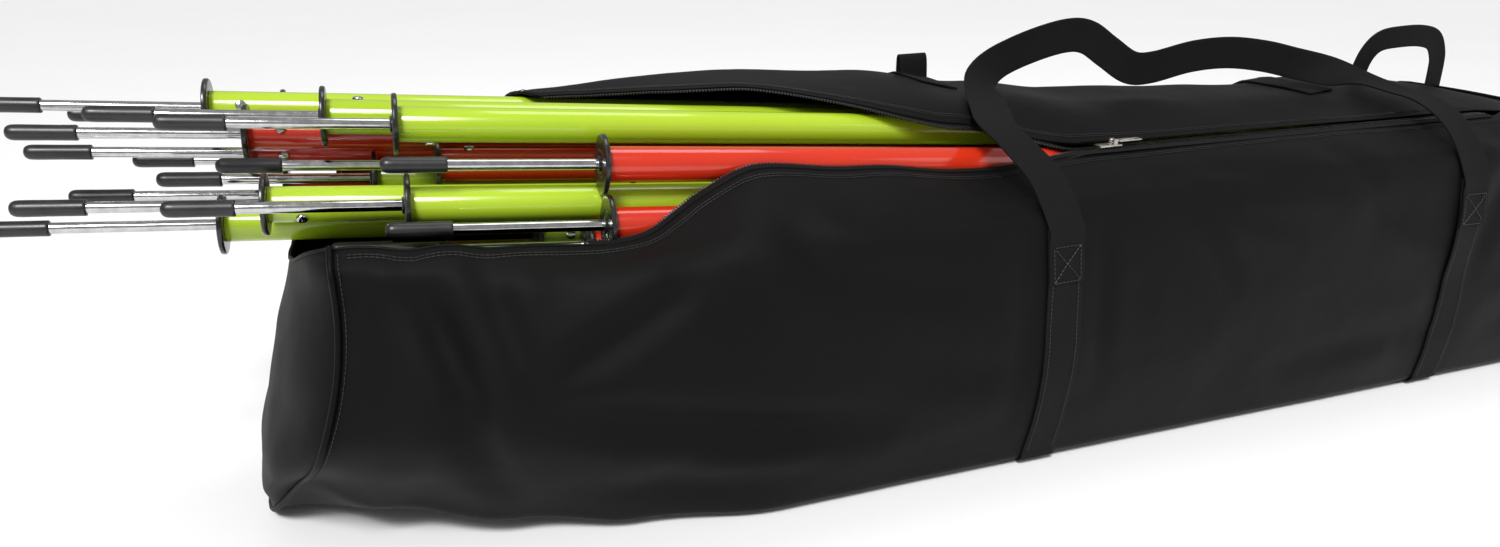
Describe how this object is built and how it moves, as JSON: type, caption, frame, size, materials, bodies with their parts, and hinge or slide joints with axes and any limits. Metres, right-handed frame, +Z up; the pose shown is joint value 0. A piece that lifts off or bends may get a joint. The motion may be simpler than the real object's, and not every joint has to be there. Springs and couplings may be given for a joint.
{
  "type": "weave pole set",
  "caption": "Agility weave poles with ground spikes, foot discs and push-on tips, in a long zipped carry bag open at one end.",
  "frame": {"origin": "on the floor under the bag, midway along the set's whole length and midway across its width", "axes": "+X along the bag from the open, spiked end to the closed end, +Y from the front wall with the zip's near edge to the back wall, +Z up"},
  "size_m": [1.7991, 0.385, 0.412],
  "materials": {
    "bag_fabric": "matte woven polyester",
    "webbing": "matte woven webbing",
    "zip_tape": "woven tape with moulded teeth",
    "zip_metal": "nickel plate",
    "tube_yellow": "gloss",
    "tube_red": "gloss",
    "black_plastic": "semi-gloss moulded",
    "zinc_steel": "zinc plate",
    "black_vinyl": "satin vinyl"
  },
  "bodies": {
    "bag": {"bag_body": "bag_fabric", "zip_tape_front": "zip_tape", "zip_tape_back": "zip_tape", "strap_left": "webbing", "strap_right": "webbing", "loop_tab": "webbing"},
    "slider": {"zip_slider": "zip_metal"},
    "pull": {"zip_pull": "zip_metal"},
    "carry_handle": {"carry_handle": "webbing"},
    "grab_handle": {"grab_handle": "webbing"},
    "pole_01": {"tube_01": "tube_yellow", "plugs_01": "black_plastic", "spike_01": "zinc_steel"},
    "tip_01": {"tip_01": "black_vinyl"},
    "pole_02": {"tube_02": "tube_red", "plugs_02": "black_plastic", "spike_02": "zinc_steel"},
    "tip_02": {"tip_02": "black_vinyl"},
    "pole_03": {"tube_03": "tube_yellow", "plugs_03": "black_plastic", "spike_03": "zinc_steel"},
    "tip_03": {"tip_03": "black_vinyl"},
    "pole_04": {"tube_04": "tube_red", "plugs_04": "black_plastic", "spike_04": "zinc_steel"},
    "tip_04": {"tip_04": "black_vinyl"},
    "pole_05": {"tube_05": "tube_red", "plugs_05": "black_plastic", "spike_05": "zinc_steel"},
    "tip_05": {"tip_05": "black_vinyl"},
    "pole_06": {"tube_06": "tube_yellow", "plugs_06": "black_plastic", "spike_06": "zinc_steel"},
    "tip_06": {"tip_06": "black_vinyl"},
    "pole_07": {"tube_07": "tube_yellow", "plugs_07": "black_plastic", "spike_07": "zinc_steel"},
    "tip_07": {"tip_07": "black_vinyl"},
    "pole_08": {"tube_08": "tube_red", "plugs_08": "black_plastic", "spike_08": "zinc_steel"},
    "tip_08": {"tip_08": "black_vinyl"},
    "pole_09": {"tube_09": "tube_yellow", "plugs_09": "black_plastic", "spike_09": "zinc_steel"},
    "tip_09": {"tip_09": "black_vinyl"},
    "pole_10": {"tube_10": "tube_yellow", "plugs_10": "black_plastic", "spike_10": "zinc_steel"},
    "tip_10": {"tip_10": "black_vinyl"},
    "pole_11": {"pole_11": "tube_red"},
    "pole_12": {"pole_12": "tube_yellow"},
    "pole_13": {"pole_13": "tube_red"},
    "pole_14": {"pole_14": "tube_red"},
    "pole_15": {"pole_15": "tube_yellow"},
    "pole_16": {"pole_16": "tube_red"},
    "pole_17": {"pole_17": "tube_red"},
    "pole_18": {"pole_18": "tube_yellow"}
  },
  "joints": [
    {"name": "zip_slide", "type": "slide", "parent": "bag", "child": "slider", "axis": [1, 0, 0], "range_m": [0, 0.54]},
    {"name": "pull_hinge", "type": "hinge", "parent": "slider", "child": "pull", "pos_m": [0.169, -0.095, 0.3177], "axis": [0, -1, 0], "range_deg": [0, 170]},
    {"name": "carry_handle_tilt", "type": "hinge", "parent": "bag", "child": "carry_handle", "pos_m": [0.335, 0.06125, 0.3335], "axis": [-0.9995, 0, 0.0322], "range_deg": [-45, 60]},
    {"name": "grab_handle_tilt", "type": "hinge", "parent": "bag", "child": "grab_handle", "pos_m": [0.8, 0.07925, 0.3212], "axis": [-0.9998, 0, 0.0197], "range_deg": [-60, 60]},
    {"name": "pole_01_slide", "type": "slide", "parent": "bag", "child": "pole_01", "axis": [-0.9969, 0, 0.0785], "range_m": [0, 0.5]},
    {"name": "tip_01_pull", "type": "slide", "parent": "pole_01", "child": "tip_01", "axis": [-0.9969, 0, 0.0785], "range_m": [0, 0.055]},
    {"name": "pole_02_slide", "type": "slide", "parent": "bag", "child": "pole_02", "axis": [-0.9969, 0, 0.0785], "range_m": [0, 0.025]},
    {"name": "tip_02_pull", "type": "slide", "parent": "pole_02", "child": "tip_02", "axis": [-0.9969, 0, 0.0785], "range_m": [0, 0.055]},
    {"name": "pole_03_slide", "type": "slide", "parent": "bag", "child": "pole_03", "axis": [-0.9969, 0, 0.0785], "range_m": [0, 0.05]},
    {"name": "tip_03_pull", "type": "slide", "parent": "pole_03", "child": "tip_03", "axis": [-0.9969, 0, 0.0785], "range_m": [0, 0.055]},
    {"name": "pole_04_slide", "type": "slide", "parent": "bag", "child": "pole_04", "axis": [-0.9969, 0, 0.0785], "range_m": [0, 0.045]},
    {"name": "tip_04_pull", "type": "slide", "parent": "pole_04", "child": "tip_04", "axis": [-0.9969, 0, 0.0785], "range_m": [0, 0.055]},
    {"name": "pole_05_slide", "type": "slide", "parent": "bag", "child": "pole_05", "axis": [-0.9969, 0, 0.0785], "range_m": [0, 0.15]},
    {"name": "tip_05_pull", "type": "slide", "parent": "pole_05", "child": "tip_05", "axis": [-0.9969, 0, 0.0785], "range_m": [0, 0.055]},
    {"name": "pole_06_slide", "type": "slide", "parent": "bag", "child": "pole_06", "axis": [-0.9969, 0, 0.0785], "range_m": [0, 0.09]},
    {"name": "tip_06_pull", "type": "slide", "parent": "pole_06", "child": "tip_06", "axis": [-0.9969, 0, 0.0785], "range_m": [0, 0.055]},
    {"name": "pole_07_slide", "type": "slide", "parent": "bag", "child": "pole_07", "axis": [-0.9969, 0, 0.0785], "range_m": [0, 0.1]},
    {"name": "tip_07_pull", "type": "slide", "parent": "pole_07", "child": "tip_07", "axis": [-0.9969, 0, 0.0785], "range_m": [0, 0.055]},
    {"name": "pole_08_slide", "type": "slide", "parent": "bag", "child": "pole_08", "axis": [-0.9969, 0, 0.0785], "range_m": [0, 0.15]},
    {"name": "tip_08_pull", "type": "slide", "parent": "pole_08", "child": "tip_08", "axis": [-0.9969, 0, 0.0785], "range_m": [0, 0.055]},
    {"name": "pole_09_slide", "type": "slide", "parent": "bag", "child": "pole_09", "axis": [-0.9969, 0, 0.0785], "range_m": [0, 0.035]},
    {"name": "tip_09_pull", "type": "slide", "parent": "pole_09", "child": "tip_09", "axis": [-0.9969, 0, 0.0785], "range_m": [0, 0.055]},
    {"name": "pole_10_slide", "type": "slide", "parent": "bag", "child": "pole_10", "axis": [-0.9969, 0, 0.0785], "range_m": [0, 0.5]},
    {"name": "tip_10_pull", "type": "slide", "parent": "pole_10", "child": "tip_10", "axis": [-0.9969, 0, 0.0785], "range_m": [0, 0.055]},
    {"name": "pole_11_slide", "type": "slide", "parent": "bag", "child": "pole_11", "axis": [-0.9969, 0, 0.0785], "range_m": [0, 0.02]},
    {"name": "pole_12_slide", "type": "slide", "parent": "bag", "child": "pole_12", "axis": [-0.9969, 0, 0.0785], "range_m": [0, 0.02]},
    {"name": "pole_13_slide", "type": "slide", "parent": "bag", "child": "pole_13", "axis": [-0.9969, 0, 0.0785], "range_m": [0, 0.015]},
    {"name": "pole_14_slide", "type": "slide", "parent": "bag", "child": "pole_14", "axis": [-0.9969, 0, 0.0785], "range_m": [0, 0.011]},
    {"name": "pole_15_slide", "type": "slide", "parent": "bag", "child": "pole_15", "axis": [-0.9969, 0, 0.0785], "range_m": [0, 0.015]},
    {"name": "pole_16_slide", "type": "slide", "parent": "bag", "child": "pole_16", "axis": [-0.9969, 0, 0.0785], "range_m": [0, 0.05]},
    {"name": "pole_17_slide", "type": "slide", "parent": "bag", "child": "pole_17", "axis": [-0.9969, 0, 0.0785], "range_m": [0, 0.03]},
    {"name": "pole_18_slide", "type": "slide", "parent": "bag", "child": "pole_18", "axis": [-0.9969, 0, 0.0785], "range_m": [0, 0.03]}
  ]
}
